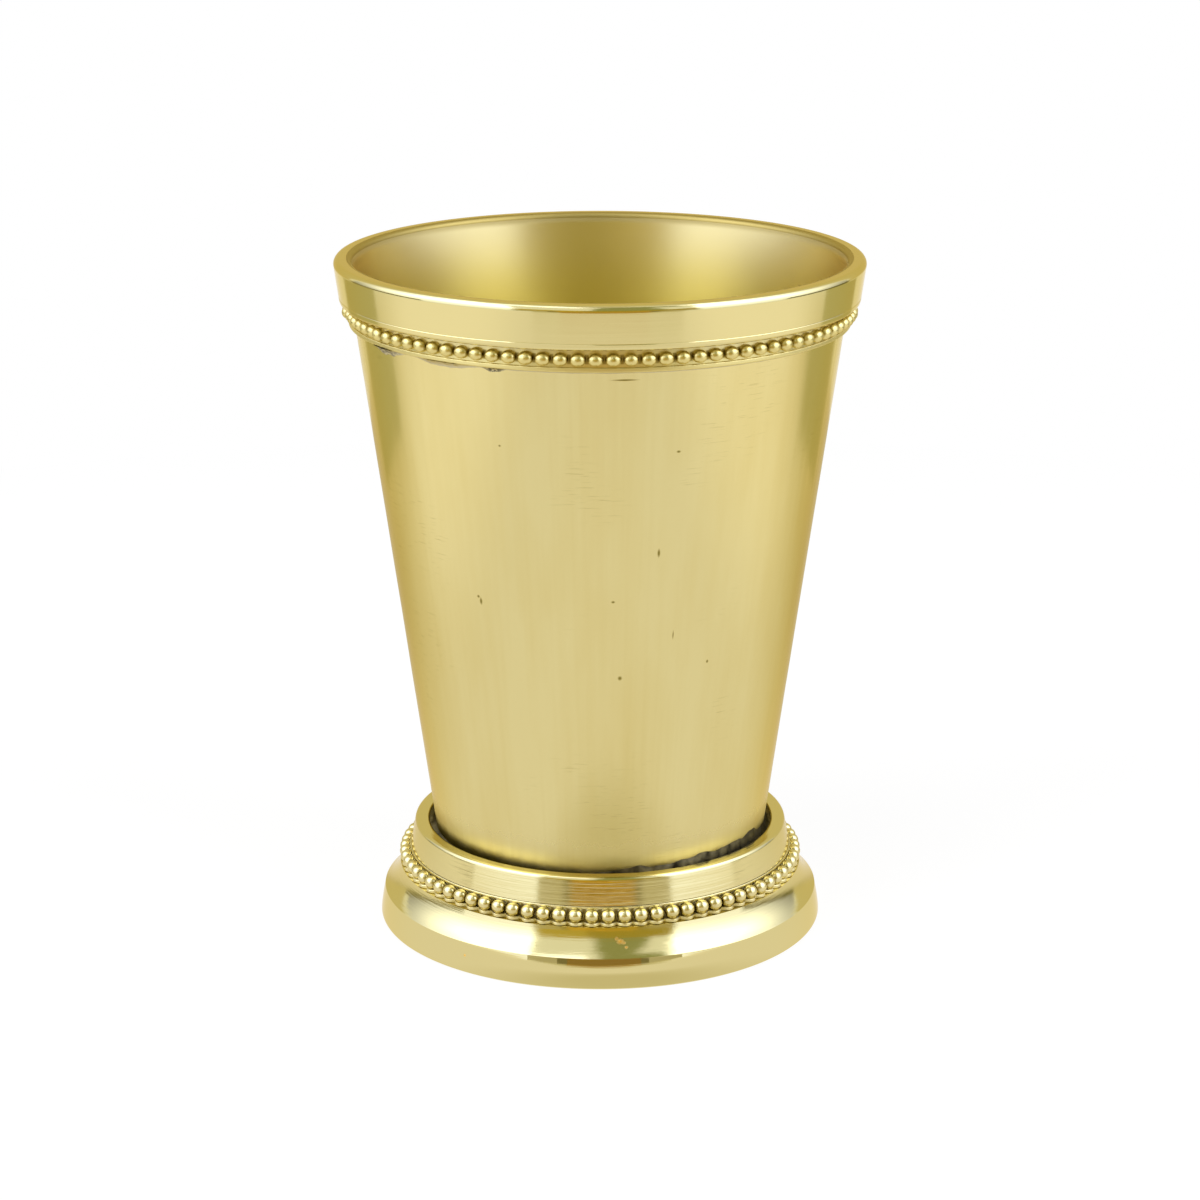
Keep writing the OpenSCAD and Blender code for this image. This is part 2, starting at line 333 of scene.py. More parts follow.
def rolledBrassSatinBuffed():
    # Rolled sheet brass, buffed along the cup: soft vertical streaks, a few level scratches and pits, and a
    # dark band at the foot that is partly flux stain and partly painted shade
    material, tree = newMaterial("rolledBrassSatinBuffed")
    s = rolledSheet
    at = roundCoordinates(tree)
    cloud = addNode(tree, "TexNoise", {"Scale": 1.0, "Detail": 3.0, "Roughness": 0.55},
                    {"Vector": stretched(tree, at, s["cloudWidth"], s["cloudWidth"] * 4)})
    streak = addNode(tree, "TexNoise", {"Scale": 1.0, "Detail": 4.0, "Roughness": 0.6},
                     {"Vector": stretched(tree, at, s["streakWidth"], s["streakLength"])})
    scratch = addNode(tree, "TexNoise", {"Scale": 1.0, "Detail": 2.0, "Roughness": 0.5},
                      {"Vector": stretched(tree, at, s["scratchLength"], s["scratchWidth"])})
    patch = addNode(tree, "TexNoise", {"Scale": s["patchScale"], "Detail": 1.0}, {"Vector": at["point"]})
    cut = addNode(tree, "MapRange", fromTo(s["scratchCut"]), {"Value": scratch})
    where = addNode(tree, "MapRange", fromTo(s["scratchPatch"]), {"Value": patch})
    scratched = addNode(tree, "Math", {"operation": "MULTIPLY"}, {0: cut, 1: where})
    pitted = spots(tree, at, s["pits"])

    tone = addNode(tree, "MapRange", fromTo(s["cloudTone"], (0.0, s["cloudShare"])), {"Value": cloud})
    streaky = addNode(tree, "Math", {
        "operation": "MULTIPLY_ADD", 1: s["streakShare"], 2: -s["streakShare"] / 2}, {0: streak})
    mottle = addNode(tree, "Math", {"operation": "ADD", "use_clamp": True}, {0: tone, 1: streaky})
    worn = addNode(tree, "Mix", {
        "data_type": "RGBA", 6: linear(brass["polished"]), 7: linear(brass["handled"])}, {"Factor": mottle})
    # Painted shade where the wall meets the collar, mixed with flux stain; the haze adds a little of the same
    # darkening
    stainedAndShaded, haze = footStainAndShade(tree, at, s)
    damage = addNode(tree, "Math", {"operation": "MULTIPLY_ADD", 1: s["scratchShare"]},
                     {0: scratched, 2: pitted})
    dimmed = addNode(tree, "Math", {"operation": "MULTIPLY_ADD", 1: s["hazeShare"]}, {0: haze, 2: stainedAndShaded})
    marksStainAndShade = addNode(tree, "Math", {"operation": "MAXIMUM", "use_clamp": True}, {0: damage, 1: dimmed})
    colour = addNode(tree, "Mix", {"data_type": "RGBA", 7: linear(brass["stain"])},
                     {"Factor": marksStainAndShade, 6: worn.outputs[2]})
    rough = addNode(tree, "MapRange", fromTo(noiseSpan, s["roughness"]), {"Value": streak})
    dull = addNode(tree, "Math", {"operation": "MULTIPLY_ADD", 1: s["hazeRoughness"]}, {0: haze, 2: rough})
    grain = addNode(tree, "Bump", {"Strength": 0.35, "Distance": s["streakDepth"] * mm}, {"Height": streak})
    bump = addNode(tree, "Bump", {"invert": True, "Strength": 0.6, "Distance": s["scratchDepth"] * mm},
                   {"Height": damage, "Normal": grain})
    shader = addNode(tree, "BsdfPrincipled", {"Metallic": 1.0, "Specular Tint": linear(brass["edge"])},
                     {"Base Color": colour.outputs[2], "Roughness": dull, "Normal": bump})
    addNode(tree, "OutputMaterial", links={"Surface": shader})
    return material


brushedInside = {
    "lineLength": 25.0,
    "lineSpacing": 0.35,
    "lineDepth": 0.0015,
    "roughness": (0.28, 0.34),
    "buffed": (1.5, 14.0),  # the painted shade further in comes in between these depths below the lip
    "dullEdge": 1.0,  # under the lip, where the inside turns darker and rougher
    "dullest": 0.1,
    "dullRoughness": 0.2,
    "dullShare": 0.45,
}


def rolledBrassBrushed():
    # Rolled sheet brass, brushed dull round the inside: broad soft light, and painted shade that deepens the
    # colour further down
    material, tree = newMaterial("rolledBrassBrushed")
    s = brushedInside
    at = roundCoordinates(tree)
    brushed = addNode(tree, "TexNoise", {"Scale": 1.0, "Detail": 4.0},
                      {"Vector": stretched(tree, at, s["lineLength"], s["lineSpacing"])})
    rough = addNode(tree, "MapRange", fromTo((0.0, 1.0), s["roughness"]), {"Value": brushed})
    bump = addNode(tree, "Bump", {"Strength": 0.3, "Distance": s["lineDepth"] * mm}, {"Height": brushed})
    # Painted shade: the colour deepens further down the inside, for light bounced round in the cup
    bright, faded = s["buffed"]
    paintedShadeDown = addNode(tree, "MapRange", fromTo((lipTop - bright, lipTop - faded), smooth=True),
                   {"Value": at["height"]})
    buffed = addNode(tree, "Mix", {
        "data_type": "RGBA", 6: linear(brass["inside"]), 7: linear(brass["insidePaintedShade"])}, {"Factor": paintedShadeDown})
    dull = addNode(tree, "MapRange", fromTo((wallTop - s["dullEdge"], wallTop - s["dullest"]), smooth=True),
                   {"Value": at["height"]})
    dulled = addNode(tree, "Math", {"operation": "MULTIPLY", 1: s["dullShare"]}, {0: dull})
    colour = addNode(tree, "Mix", {"data_type": "RGBA", 7: linear(turnedLip["colour"])},
                     {"Factor": dulled, 6: buffed.outputs[2]})
    rougher = addNode(tree, "Math", {"operation": "MULTIPLY_ADD", 1: s["dullRoughness"]}, {0: dull, 2: rough})
    shader = addNode(tree, "BsdfPrincipled", {"Metallic": 1.0, "Specular Tint": linear(brass["edge"])},
                     {"Base Color": colour.outputs[2], "Roughness": rougher, "Normal": bump})
    addNode(tree, "OutputMaterial", links={"Surface": shader})
    return material


def turnedBrass(name, s):
    # Turned brass moulding with the tool's fine lines round it, which draw reflections out upright
    material, tree = newMaterial(name)
    at = roundCoordinates(tree)
    across = addNode(tree, "Math", {"operation": "SUBTRACT"}, {0: at["height"], 1: at["radius"]})
    lines = addNode(tree, "TexNoise", {"Scale": 1.0, "Detail": 3.0, "Roughness": 0.7},
                    {"Vector": stretched(tree, at, s["lineLength"], s["lineSpacing"], across)})
    rough = addNode(tree, "MapRange", fromTo(noiseSpan, s["roughness"]), {"Value": lines})
    bump = addNode(tree, "Bump", {"Strength": 0.5, "Distance": s["lineDepth"] * mm}, {"Height": lines})
    if "plainBelow" in s:
        edge = (s["plainBelow"] - s["plainFade"], s["plainBelow"] + s["plainFade"])
        lined = addNode(tree, "MapRange", fromTo(edge, s["lineStrength"]), {"Value": at["height"]})
        tree.links.new(lined.outputs[0], bump.inputs["Strength"])
        buffed = addNode(tree, "Math", {"operation": "MULTIPLY", 1: s["roughnessShare"]}, {0: lined})
        least = addNode(tree, "Math", {"operation": "MINIMUM"}, {0: rough, 1: buffed})
        rough = addNode(tree, "Math", {"operation": "MAXIMUM", 1: s["plainRoughness"]}, {0: least})
    if "flecks" in s:
        marked = spots(tree, at, s["flecks"])
        rough = addNode(tree, "Math", {"operation": "MULTIPLY_ADD", 1: s["fleckRoughness"]},
                        {0: marked, 2: rough})
    around = addNode(tree, "Tangent", {"direction_type": "RADIAL", "axis": "Z"})
    shader = addNode(tree, "BsdfPrincipled",
                     {"Metallic": 1.0, "Base Color": linear(s["colour"]), "Specular Tint": linear(s["edge"]),
                      "Anisotropic": s["anisotropy"], "Anisotropic Rotation": 0.25},
                     {"Roughness": rough, "Normal": bump, "Tangent": around})
    if "flecks" in s:
        colour = addNode(tree, "Mix", {
            "data_type": "RGBA", 6: linear(s["colour"]), 7: linear(brass["fleck"])}, {"Factor": marked})
        tree.links.new(colour.outputs[2], shader.inputs["Base Color"])
    addNode(tree, "OutputMaterial", links={"Surface": shader})
    return material


beadWear = {
    "gap": (-0.6, -0.95),  # of a wave that is 1 on the beads and -1 between them, where the oxide and painted shade lie
    "bandFade": 0.2,
    "flangeFade": 0.1,
    "stripRoughness": 0.42,
}


def rolledBeadBrass(name, wire):
    # Beaded wire, rolled from brass and then buffed: bright beads, oxide and painted shade between them
    material, tree = newMaterial(name)
    at = roundCoordinates(tree)
    proud = addNode(tree, "Math", {"operation": "SUBTRACT", 1: wire["radius"]}, {0: at["radius"]})
    if wire["slope"]:
        lean = addNode(tree, "Math", {
            "operation": "MULTIPLY_ADD", 1: wire["slope"], 2: -wire["slope"] * wire["height"]},
            {0: at["height"]})
        proud = addNode(tree, "Math", {"operation": "SUBTRACT"}, {0: proud, 1: lean})
    worn = addNode(tree, "MapRange", fromTo((wire["dark"], wire["bright"])), {"Value": proud})
    parts = addNode(tree, "SeparateXYZ", links={0: at["direction"]})
    turn = addNode(tree, "Math", {"operation": "ARCTAN2"}, {0: parts.outputs["Y"], 1: parts.outputs["X"]})
    phase = addNode(tree, "Math", {"operation": "MULTIPLY", 1: wire["count"]}, {0: turn})
    wave = addNode(tree, "Math", {"operation": "COSINE"}, {0: phase})
    between = addNode(tree, "MapRange", fromTo(beadWear["gap"]), {"Value": wave})
    off = addNode(tree, "Math", {"operation": "SUBTRACT", 1: wire["height"]}, {0: at["height"]})
    away = addNode(tree, "Math", {"operation": "ABSOLUTE"}, {0: off})
    level = addNode(tree, "MapRange", fromTo((wire["band"], wire["band"] - beadWear["bandFade"])),
                    {"Value": away})
    # Painted shade between the beads, laid with the oxide there
    dark = addNode(tree, "Math", {"operation": "MULTIPLY"}, {0: between, 1: level})
    strip = addNode(tree, "Mix", {"data_type": "RGBA", 6: linear(wire["strip"]), 7: linear(wire["bead"])},
                    {"Factor": worn})
    colour = addNode(tree, "Mix", {"data_type": "RGBA", 7: linear(brass["oxideAndShade"])},
                     {"Factor": dark, 6: strip.outputs[2]})
    above = addNode(tree, "MapRange", fromTo((wire["flangeTop"], wire["flangeTop"] + beadWear["flangeFade"])),
                    {"Value": at["height"]})
    onBead = addNode(tree, "Math", {"operation": "MULTIPLY"}, {0: worn, 1: above})
    rough = addNode(tree, "MapRange", fromTo((0.0, 1.0), (beadWear["stripRoughness"], wire["beadRoughness"])),
                    {"Value": onBead})
    shader = addNode(tree, "BsdfPrincipled", {"Metallic": 1.0, "Specular Tint": linear(brass["paleEdge"])},
                     {"Base Color": colour.outputs[2], "Roughness": rough})
    addNode(tree, "OutputMaterial", links={"Surface": shader})
    return material


def softSolder(name, s):
    # Soft solder left as it flowed: grey and lumpy, with black flux in places
    material, tree = newMaterial(name)
    at = roundCoordinates(tree)
    lumps = addNode(tree, "TexNoise", {"Scale": s["lumpScale"], "Detail": 2.5}, {"Vector": at["point"]})
    stain = addNode(tree, "MapRange", fromTo(s["flux"]), {"Value": lumps})
    if "burnt" in s:
        stain = addNode(tree, "Math", {"operation": "MULTIPLY"}, {0: spots(tree, at, s["burnt"]), 1: stain})
    colour = addNode(tree, "Mix", {"data_type": "RGBA", 6: linear(s["light"]), 7: linear(s["dark"])},
                     {"Factor": stain})
    bump = addNode(tree, "Bump", {"Strength": 0.5, "Distance": s["lumpHeight"] * mm}, {"Height": lumps})
    shader = addNode(tree, "BsdfPrincipled", {"Metallic": 0.9, "Roughness": s["roughness"]},
                     {"Base Color": colour.outputs[2], "Normal": bump})
    addNode(tree, "OutputMaterial", links={"Surface": shader})
    return material


turnedRim = {
    "lineLength": 30.0,
    "lineSpacing": 0.3,  # real lines are finer, but would not show
    "lineDepth": 0.003,
    "roughness": (0.1, 0.15),
    "anisotropy": 0.5,
    "colour": brass["polished"],
    "edge": brass["edge"],
}
turnedLip = {
    "lineLength": 30.0,
    "lineSpacing": 0.3,
    "lineDepth": 0.003,
    "roughness": (0.4, 0.46),
    "anisotropy": 0.0,
    "colour": "#AC9A58",  # darker round the lip's inner edge
    "edge": brass["edge"],
}
turnedFoot = {
    "lineLength": 26.0,
    "lineSpacing": 0.4,  # real lines are finer, but would not show
    "lineDepth": 0.04,
    "roughness": (0.09, 0.15),
    "colour": brass["polished"],
    "edge": brass["paleEdge"],
    "anisotropy": 0.5,
    "plainBelow": 4.9,  # the base's upright band is buffed smooth
    "plainFade": 0.3,
    "plainRoughness": 0.025,
    "lineStrength": (0.04, 0.5),  # of the lines, below and above that height
    "roughnessShare": 0.24,  # of that strength, the most roughness that is left
    "fleckRoughness": 0.55,
    "flecks": [
        (4.5, 7.5, 0.5, 0.45, 33.2),
        (5.4, 7.1, 0.8, 0.55, 33.4),
        (6.3, 6.9, 0.5, 0.35, 33.5),
        (6.9, 6.3, 0.4, 0.3, 33.8),
        (-36.5, 2.9, 0.3, 0.3, 35.4),
    ],
}
rimSolder = {
    "light": "#C6BC94",
    "dark": "#1E1A12",
    "flux": (0.42, 0.5),
    "lumpScale": 2.6,
    "lumpHeight": 0.12,
    "roughness": 0.3,
    "burnt": [
        (-57, 98.2, 4.5, 3.0),
        (-24, 98.0, 2.2, 2.0),
    ],
}
footSolder = {
    "light": "#6A6552",
    "dark": "#211E16",
    "flux": (0.38, 0.66),
    "lumpScale": 0.55,
    "lumpHeight": 0.05,
    "roughness": 0.36,
}


# Pieces

sheetOutside = rolledBrassSatinBuffed()
sheetInside = rolledBrassBrushed()
rimMoulding = turnedBrass("turnedBrassBuffed", turnedRim)
lipEdge = turnedBrass("turnedBrassDull", turnedLip)
footMoulding = turnedBrass("turnedBrassLatheLined", turnedFoot)
cleanSolder = softSolder("softSolderWiped", rimSolder)
darkSolder = softSolder("softSolderAsFlowed", footSolder)


def buildWall():
    points = subdivided([Vector(p) for p in (
        (wallIn(wallLow), wallLow),
        (wallOut(wallLow), wallLow),
        (wallOut(wallTop), wallTop),
        (wallIn(wallTop), wallTop),
    )], wall["rowStep"])

    def uneven(turn, r, z):
        share = min(wall["trueEnd"], z - wallLow, wallTop - z) / wall["trueEnd"]
        return r + share * wall["unevenness"] * unevenness(turn, z, wall["unevenWidth"], seed=5), z

    mesh = turnedMesh("cup_wall_sheet", points, turnedSegments, uneven)
    addPiece("cup_wall_sheet", mesh, "cup_wall", "cup_brass", sheetOutside, sheetInside)
    for face in mesh.polygons:
        outward = Vector((face.center.x, face.center.y, 0)).normalized()
        face.material_index = 0 if face.normal.dot(outward) > wall["outsideFrom"] else 1


floorDisc = {"edgeGap": 0.05, "rings": 12, "segments": 192}


def buildFloor():
    low, high, _ = span("cup_floor")
    points = [Vector(p) for p in (
        (0, low), (wallIn(low) - floorDisc["edgeGap"], low), (wallIn(high) - floorDisc["edgeGap"], high),
    )]
    count = floorDisc["rings"]
    rings = [Vector((wallIn(high) * k / count, high)) for k in range(count - 1, -1, -1)]
    mesh = turnedMesh("cup_floor_disc", points + rings, floorDisc["segments"])
    addPiece("cup_floor_disc", mesh, "cup_floor", "cup_brass", sheetInside)


rimBand = {
    "stands": 1.85,  # out from the wall
    "fit": 0.05,
    "lipRound": 0.9,
    "lipInnerRound": 0.8,  # darker and rougher
    "lowerRound": 0.6,
    "lineHeight": 1.02,  # turned line above the lower rounding
    "lineWidth": 0.14,
    "lineDepth": 0.05,
}


def buildRimBand():
    b = rimBand
    lineZ = bandLow + b["lineHeight"]

    def face(z):
        return wallOut(z) + b["stands"]

    points = rounded([
        (wallIn(wallTop), wallTop, 0),
        (wallOut(wallTop) + b["fit"], wallTop, 0),
        (wallOut(bandLow) + b["fit"], bandLow, 0),
        (face(bandLow), bandLow, b["lowerRound"]),
        (face(lineZ - b["lineWidth"] / 2), lineZ - b["lineWidth"] / 2, 0),
        (face(lineZ) - b["lineDepth"], lineZ, 0),
        (face(lineZ + b["lineWidth"] / 2), lineZ + b["lineWidth"] / 2, 0),
        (face(lipTop), lipTop, b["lipRound"]),
        (wallIn(lipTop), lipTop, b["lipInnerRound"]),
    ])
    mesh = turnedMesh("rim_band_moulding", points, turnedSegments)
    addPiece("rim_band_moulding", mesh, "rim_band", "moulding_brass", rimMoulding, lipEdge)
    dullR = wallIn(lipTop) + b["lipInnerRound"]
    for polygon in mesh.polygons:
        x, y, z = polygon.center / mm
        polygon.material_index = 1 if z > wallTop and math.hypot(x, y) < dullR else 0


def beadsMesh(name, beads):
    # A ring of oval beads, each a little different in size and lean
    chance = random.Random(beads["seed"])
    around, upward = 28, 16  # faces of one bead
    vertices, faces = [], []
    for i in range(beads["count"]):
        size = beads["diameter"] / 2 * mm * (1 + chance.uniform(-1, 1) * beads["variation"])
        azimuth = (360 * i / beads["count"] + 270) % 360 - 180  # 0 at the front, positive to the right
        sunk = beads["sunk"] if beads["sunkAt"][0] < azimuth < beads["sunkAt"][1] else 0
        place = Matrix.Rotation(2 * math.pi * i / beads["count"], 4, "Z")
        place = place @ Matrix.Translation(((beads["ringR"] - sunk) * mm, 0, beads["height"] * mm))
        place = place @ Matrix.Rotation(math.radians(chance.uniform(-1, 1) * beads["tilt"]), 4, "X")
        first = len(vertices)
        vertices.append(place @ Vector((0, 0, size)))
        for j in range(1, upward):
            down = math.pi * j / upward
            for k in range(around):
                turn = 2 * math.pi * k / around
                vertices.append(place @ Vector((
                    size * math.sin(down) * math.cos(turn),
                    size * math.sin(down) * math.sin(turn) * beads["widthShare"],
                    size * math.cos(down),
                )))
        vertices.append(place @ Vector((0, 0, -size)))
        last = len(vertices) - 1
        for k in range(around):
            n = (k + 1) % around
            faces.append((first, first + 1 + k, first + 1 + n))
            for j in range(upward - 2):
                row = first + 1 + j * around
                faces.append((row + k, row + around + k, row + around + n, row + n))
            row = last - around
            faces.append((row + k, last, row + n))
    mesh = bpy.data.meshes.new(name)
    mesh.from_pydata(vertices, [], faces)
    return mesh


def beadedMesh(name, outline, segments, beads, moved=None):
    # The strip is turned, and the beads are joined to it
    strip = bpy.data.objects.new(name + "_strip", turnedMesh(name, outline, segments, moved))
    ring = bpy.data.objects.new(name + "_beads", beadsMesh(name + "_beads", beads))
    for piece in (strip, ring):
        bpy.context.scene.collection.objects.link(piece)
        faceOutward(piece.data)
    join = strip.modifiers.new("join", "BOOLEAN")
    join.operation = "UNION"
    join.solver = "MANIFOLD"
    join.object = ring
    joined = bpy.data.meshes.new_from_object(strip.evaluated_get(bpy.context.evaluated_depsgraph_get()))
    joined.name = name
    joined.materials.clear()
    bpy.data.objects.remove(strip)
    bpy.data.objects.remove(ring)
    return joined


rimBeads = {
    "count": 95,
    "diameter": 2.0,
    "widthShare": 1.18,
    "variation": 0.035,
    "tilt": 6.0,
    "seed": 12,
    "sunkAt": (-84, -58),  # a stretch that was dressed flatter
    "sunk": 0.3,
    "height": 99.65,
    "ringR": 39.09,
    "stripT": 0.45,
    "ledgeT": 0.85,
    "ledgeH": 0.75,
    "fit": 0.05,
}


def buildRimBeading():
    b = rimBeads
    low, high, _ = span("rim_beading")
    stripR = wallOut(b["height"]) + b["stripT"]
    ledgeR = wallOut(low + b["ledgeH"]) + b["ledgeT"]
    outline = rounded([
        (wallOut(low) + b["fit"], low, 0),
        (ledgeR, low, 0.22),
        (ledgeR, low + b["ledgeH"], 0.18),
        (stripR, low + b["ledgeH"], 0),
        (stripR, high, 0.12),
        (wallOut(high) + b["fit"], high, 0),
    ], steps=5, support=0.03)
    mesh = beadedMesh("rim_bead_wire", outline, b["count"] * 4, b)
    slope = wallOut(1) - wallOut(0)
    material = rolledBeadBrass("rolledBeadBrassRim", {
        "radius": wallOut(b["height"]), "height": b["height"], "slope": slope, "count": b["count"],
        "dark": 0.46, "bright": 0.6, "band": 0.8, "flangeTop": low + b["ledgeH"],
        "strip": "#DCCF92", "bead": "#DACC88", "beadRoughness": 0.3})
    addPiece("rim_bead_wire", mesh, "rim_beading", "bead_brass", material)


footBeads = {
    "count": 78,
    "diameter": 2.1,
    "widthShare": 1.12,
    "variation": 0.02,
    "tilt": 6.0,
    "seed": 31,
    "sunkAt": (0, 0),
    "sunk": 0,
    "height": 10.6,
    "ringR": 31.52,
    "stripR": 30.68,
    "stripT": 0.9,
    "ridge": 0.22,  # the strip's upper edge stands proud of the collar
    "ridgeH": 0.4,
    "flangeT": 0.6,
    "flangeOut": 0.9,
    "scallop": 0.75,
    "scallopIn": 0.4,  # how far out from the strip it starts
}


def buildFootBeading():
    b = footBeads
    low, high, _ = span("foot_beading")
    inner = b["stripR"] - b["stripT"]
    flangeR = b["stripR"] + b["flangeOut"]
    outline = rounded([
        (inner, low, 0),
        (flangeR, low, 0.15),
        (flangeR, low + b["flangeT"], 0.2),
        (b["stripR"], low + b["flangeT"], 0),
        (b["stripR"], high - b["ridgeH"], 0),
        (b["stripR"] + b["ridge"], high - b["ridgeH"], 0.08),
        (b["stripR"] + b["ridge"], high, 0.12),
        (inner, high, 0),
    ], steps=5, support=0.03)

    def scalloped(turn, r, z):
        share = (r - b["stripR"] - b["scallopIn"]) / (flangeR - b["stripR"] - b["scallopIn"])
        share = max(0.0, min(1.0, share))
        return r + share * b["scallop"] * abs(math.cos(turn * b["count"] / 2)), z

    mesh = beadedMesh("foot_bead_wire", outline, b["count"] * 8, b, scalloped)
    material = rolledBeadBrass("rolledBeadBrassFoot", {
        "radius": b["stripR"], "height": b["height"], "slope": 0, "count": b["count"],
        "dark": 0.02, "bright": 0.2, "band": 1.0, "flangeTop": low + b["flangeT"],
        "strip": "#CFC9AC", "bead": "#DED39C", "beadRoughness": 0.24})
    addPiece("foot_bead_wire", mesh, "foot_beading", "bead_brass", material)


footBase = {
    "bandH": 4.9,
    "bandSlopes": ((4.9, 0.211), (3.4, 0.188), (0.9, 0.116)),  # the band is crowned: its lean at each height
    "bandR": 34.98,
    "footR": 35.78,
    "toeOut": 0.05,  # how much further out the band's lower corner is, before it is rounded
    "skirtHollow": 0.4,
    "seatR": 32.43,
    "thickness": 1.9,
    "seatT": 1.6,
    "round": 0.7,
    "spigotOutR": 27.52,
    "spigotInR": 25.91,
    "spigotH": 1.5,
    "boreR": 22.64,
}


def buildFootBase():
    b = footBase
    seat, seatLow = seatHeight, seatHeight - b["seatT"]
    stand, edge = (b["bandR"], b["bandH"]), (b["seatR"], seat)
    innerStand, innerEdge = (b["bandR"] - b["thickness"], b["bandH"]), (b["seatR"] - b["thickness"], seatLow)
    crown, r, z, steps = [], b["bandR"], b["bandH"], 8
    for (high, upper), (low, lower) in zip(b["bandSlopes"], b["bandSlopes"][1:]):
        for k in range(steps):
            r += (upper + (lower - upper) * (k + 0.5) / steps) * (high - low) / steps
            z -= (high - low) / steps
            crown.insert(0, (r, z, 0))
    points = rounded([
        (b["footR"] - b["thickness"], 0, 0.1),
        (crown[0][0] + b["toeOut"], 0, b["round"]),
        *crown[1:],
        (*stand, 0),
        *hollow(stand, edge, b["skirtHollow"]),
        (*edge, 0),
        (b["spigotOutR"], seat, 0),
        (b["spigotOutR"], seat + b["spigotH"], 0),
        (b["spigotInR"], seat + b["spigotH"], 0),
        (b["spigotInR"], seat, 0),
        (b["boreR"], seat, 0),
        (b["boreR"], seatLow, 0.2),
        (*innerEdge, 0),
        *hollow(innerEdge, innerStand, -b["skirtHollow"]),
        (*innerStand, 0),
    ])
    mesh = turnedMesh("foot_base_moulding", points, turnedSegments)
    addPiece("foot_base_moulding", mesh, "foot_base", "moulding_brass", footMoulding)


footCollar = {
    "innerR": 27.57,
    "topR": 29.86,
    "flareR": 30.7,
    "rebateR": 29.73,
    "rebateH": 2.85,
    "outerRound": 0.65,
    "innerRound": 0.6,
}


def buildFootCollar():
    b = footCollar
    low, high, _ = span("foot_collar")
    points = rounded([
        (b["innerR"], low, 0),
        (b["rebateR"], low, 0),
        (b["rebateR"], low + b["rebateH"], 0),
        (b["flareR"], low + b["rebateH"], 0),
        (b["topR"], high, b["outerRound"]),
        (b["innerR"], high, b["innerRound"]),
    ])
    mesh = turnedMesh("foot_collar_ring", points, turnedSegments)
    addPiece("foot_collar_ring", mesh, "foot_collar", "moulding_brass", footMoulding)


def along(table, azimuth):
    for (a, first), (b, second) in zip(table, table[1:]):
        if azimuth <= b:
            return first + (second - first) * (azimuth - a) / (b - a)
    return table[-1][1]


def azimuthOf(turn):
    return (math.degrees(turn) + 270) % 360 - 180


footCreep = {
    # Azimuth, and how far the solder has crept up the wall there
    "climb": ((-180, 0.5), (-60, 0.3), (-20, 0.4), (0, 1.0), (14, 1.9), (24, 1.5), (34, 2.2), (62, 2.6),
              (82, 1.2), (180, 0.5)),
    "climbUneven": 0.25,
    "lump": 0.1,
    "steps": 6,
    "segments": 720,
}


def buildFootSolder():
    s = footCreep
    low, high, _ = span("foot_solder")
    inner = footCollar["innerR"]
    gap = inner - wallOut(high)
    top = [Vector((inner - gap * k / s["steps"], high)) for k in range(s["steps"] + 1)]
    corners = [Vector((wallOut(low), low)), Vector((inner, low))] + top

    def crept(turn, r, z):
        if z < high - 0.01:
            return r, z
        share = (inner - r) / gap
        climb = along(s["climb"], azimuthOf(turn)) * (1 + s["climbUneven"] * unevenness(turn, 0, 4.0, seed=3))
        lump = s["lump"] * unevenness(turn, r * 2, 2.0, seed=1)
        z += climb * share ** 2 + lump * 4 * share * (1 - share)
        return inner - share * (inner - wallOut(z)), z

    mesh = turnedMesh("foot_solder_fill", corners, s["segments"], crept)
    addPiece("foot_solder_fill", mesh, "foot_solder", "solder", darkSolder)


rimCreep = {
    "leg": 0.3,
    "legUneven": 0.06,
    "runs": ((-57, 7.0, 0.9), (-37, 9.0, 0.65), (-24, 3.0, 0.45)),  # azimuth, half width and extra leg
    "runSteepness": 1.6,
    "runUneven": 0.3,
    "steps": 8,
    "segments": 1080,
}


def buildRimSolder():
    s = rimCreep
    high = span("rim_solder")[1]
    # The outline is drawn 1 off the axis, so that no point of it counts as a pole
    curve = []
    for k in range(s["steps"] + 1):
        share = k / s["steps"]
        curve.append(Vector((1 + share, share - 1)) - Vector((1, -1)) * 0.5 * share * (1 - share))

    def run(turn, share, drop):
        azimuth = azimuthOf(turn)
        leg = s["leg"] + s["legUneven"] * unevenness(turn, 0, 2.0, seed=7)
        for middle, half, extra in s["runs"]:
            near = max(0.0, 1 - abs(azimuth - middle) / half)
            rough = 1 + s["runUneven"] * unevenness(turn, drop, 0.9, seed=9)
            leg += extra * min(1.0, near * s["runSteepness"]) * rough
        z = high + drop * leg
        return wallOut(z) + (share - 1) * leg, z

    mesh = turnedMesh("rim_solder_run", curve + [Vector((1, 0))], s["segments"], run)
    addPiece("rim_solder_run", mesh, "rim_solder", "solder", cleanSolder)


floorFillet = {
    "curve": ((0.8, 0), (0.36, 0.24), (0.16, 0.5)),  # in from the wall, and down from the floor
    "segments": 256,
}


def buildFloorSolder():
    low, high, _ = span("floor_solder")
    outline = [Vector((wallIn(high) - inward, high - down)) for inward, down in floorFillet["curve"]]
    outline += [Vector((wallIn(low), low)), Vector((wallIn(high), high))]
    mesh = turnedMesh("floor_solder_fillet", outline, floorFillet["segments"])
    addPiece("floor_solder_fillet", mesh, "floor_solder", "solder", darkSolder)


buildWall()
buildFloor()
buildRimBand()
print("wall, floor and rim band built")
buildRimBeading()
buildFootBeading()
print("beaded wires built")
buildFootBase()
buildFootCollar()
buildFootSolder()
buildRimSolder()
buildFloorSolder()
print("foot and solder built")


# Studio

studio = {
    "floorRadius": 330.0,
    "world": 0.4,
    "floor": 0.97,
    "backgroundShare": 0.88,
    "backgroundGlow": 1.02,
    "boxFade": (84, 130),  # azimuths between which the light boxes grow dimmer, out of the camera's sight
    "boxFadeTo": 0.35,
}

camera = {
    "lens": 101.325,
    "distance": 539.02,
    "elevation": 16.17,
    "aimHeight": 52.2,
}


